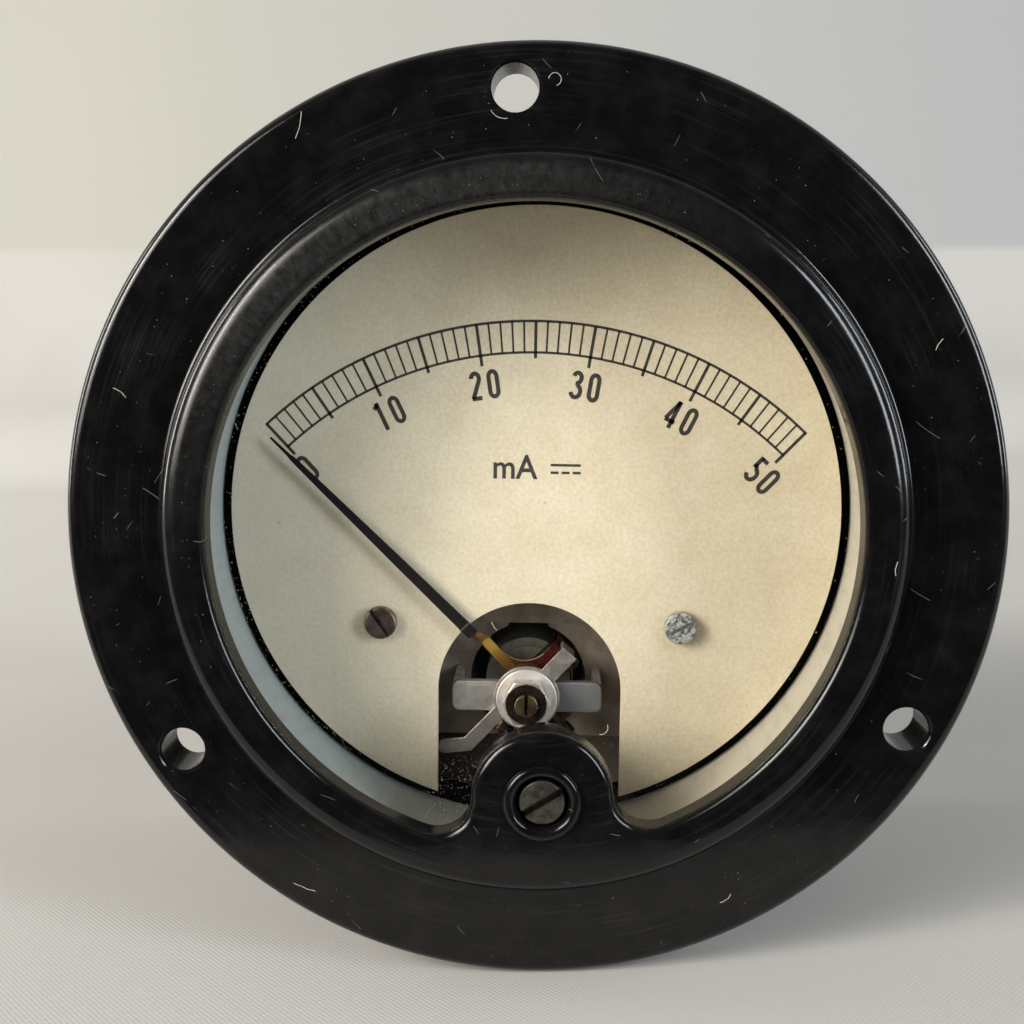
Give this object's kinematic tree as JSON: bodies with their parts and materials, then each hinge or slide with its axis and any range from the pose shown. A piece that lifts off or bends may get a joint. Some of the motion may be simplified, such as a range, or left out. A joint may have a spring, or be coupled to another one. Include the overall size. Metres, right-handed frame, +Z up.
{
  "type": "milliammeter",
  "caption": "Round panel-mounting moving-coil meter with a black moulded flange, a scale dial behind glass, a zero screw and rear stud terminals.",
  "frame": {"origin": "on the meter's own axis, at the back face of the flange, where it meets the panel", "axes": "+Z up as the dial is read, the dial faces -Y, +Y into the panel, +X to the reader's right"},
  "size_m": [0.0876, 0.0612, 0.0876],
  "materials": {
    "black_phenolic": "black phenolic moulding, satin, scratched and dusty",
    "window_glass": "clear flat glass",
    "liner_card": "cream card, stained grey-green",
    "dial_paper": "cream paper face with black printing, on a metal plate",
    "dull_steel": "dull pinkish-brown plated steel",
    "corroded_steel": "plated steel, pitted with grey corrosion",
    "bright_steel": "bright steel",
    "nickel": "nickel plate with brown tarnish",
    "aluminium": "satin aluminium",
    "brass": "brass",
    "brown_brass": "brass, tarnished brown",
    "magnet_steel": "dark magnet steel",
    "soft_iron": "plain soft iron, grey-brown",
    "blackened_aluminium": "thin aluminium, painted matt black",
    "amber_shellac": "strip coated with amber shellac",
    "red_wire": "fine copper wire under dark red enamel",
    "spring_bronze": "phosphor bronze strip",
    "red_fibre": "red vulcanised fibre",
    "cotton_lead": "cotton-covered copper wire"
  },
  "bodies": {
    "case": {"front_cover": "black_phenolic", "window_glass": "window_glass", "dial_liner": "liner_card", "dial_plate": "dial_paper", "dial_screw_left": "dull_steel", "dial_screw_right": "corroded_steel", "movement_plate": "soft_iron", "yoke_screw_left": "dull_steel", "yoke_screw_right": "dull_steel", "magnet": "magnet_steel", "pole_shoe_left": "soft_iron", "pole_shoe_right": "soft_iron", "base_plate": "brass", "core": "soft_iron", "core_bracket": "brass", "front_bridge": "aluminium", "rear_bridge": "brass", "front_jewel_screw": "brown_brass", "rear_jewel_screw": "brown_brass", "front_jewel_nut": "nickel", "rear_jewel_nut": "nickel", "lever_washer": "bright_steel", "rear_spring_arm": "nickel", "rear_case": "black_phenolic", "case_screw_1": "bright_steel", "case_screw_2": "bright_steel", "case_screw_3": "bright_steel", "movement_screw_left": "dull_steel", "movement_screw_right": "dull_steel", "terminal_stud_left": "brass", "terminal_stud_right": "brass", "terminal_nut_inner_left": "bright_steel", "terminal_nut_inner_right": "bright_steel", "terminal_washer_left": "bright_steel", "terminal_washer_right": "bright_steel", "terminal_nut_outer_left": "bright_steel", "terminal_nut_outer_right": "bright_steel", "solder_lug_left": "brass", "solder_lug_right": "brass", "shunt_bobbin": "red_fibre", "shunt_winding": "cotton_lead", "lead_left": "cotton_lead", "lead_right": "cotton_lead"},
    "zero_screw": {"zero_screw": "nickel", "zero_screw_clip": "bright_steel"},
    "zero_lever": {"zero_lever": "nickel"},
    "moving_coil": {"coil_former": "aluminium", "coil_winding": "red_wire", "front_pivot": "bright_steel", "rear_pivot": "bright_steel", "balance_arms": "brass", "balance_weight_left": "brown_brass", "balance_weight_right": "brown_brass", "balance_weight_tail": "brown_brass", "front_hairspring": "spring_bronze", "rear_hairspring": "spring_bronze", "pointer_root": "amber_shellac", "pointer_blade": "blackened_aluminium"}
  },
  "joints": [
    {"name": "zero_screw_turn", "type": "hinge", "parent": "case", "child": "zero_screw", "pos_m": [0, 0, -0.0249], "axis": [0, 1, 0], "range_deg": [-35, 35]},
    {"name": "zero_lever_turn", "type": "hinge", "parent": "case", "child": "zero_lever", "pos_m": [-0.0015, 0, -0.01917], "axis": [0, 1, 0], "range_deg": [-5, 5]},
    {"name": "coil_turn", "type": "hinge", "parent": "zero_lever", "child": "moving_coil", "pos_m": [-0.0015, 0, -0.01917], "axis": [0, 1, 0], "range_deg": [-1.5, 89.5], "stiffness_Nm_per_rad": 0.00001}
  ],
  "couplings": [
    {"joint": "zero_lever_turn", "follows": "zero_screw_turn", "ratio": 0.1318}
  ]
}
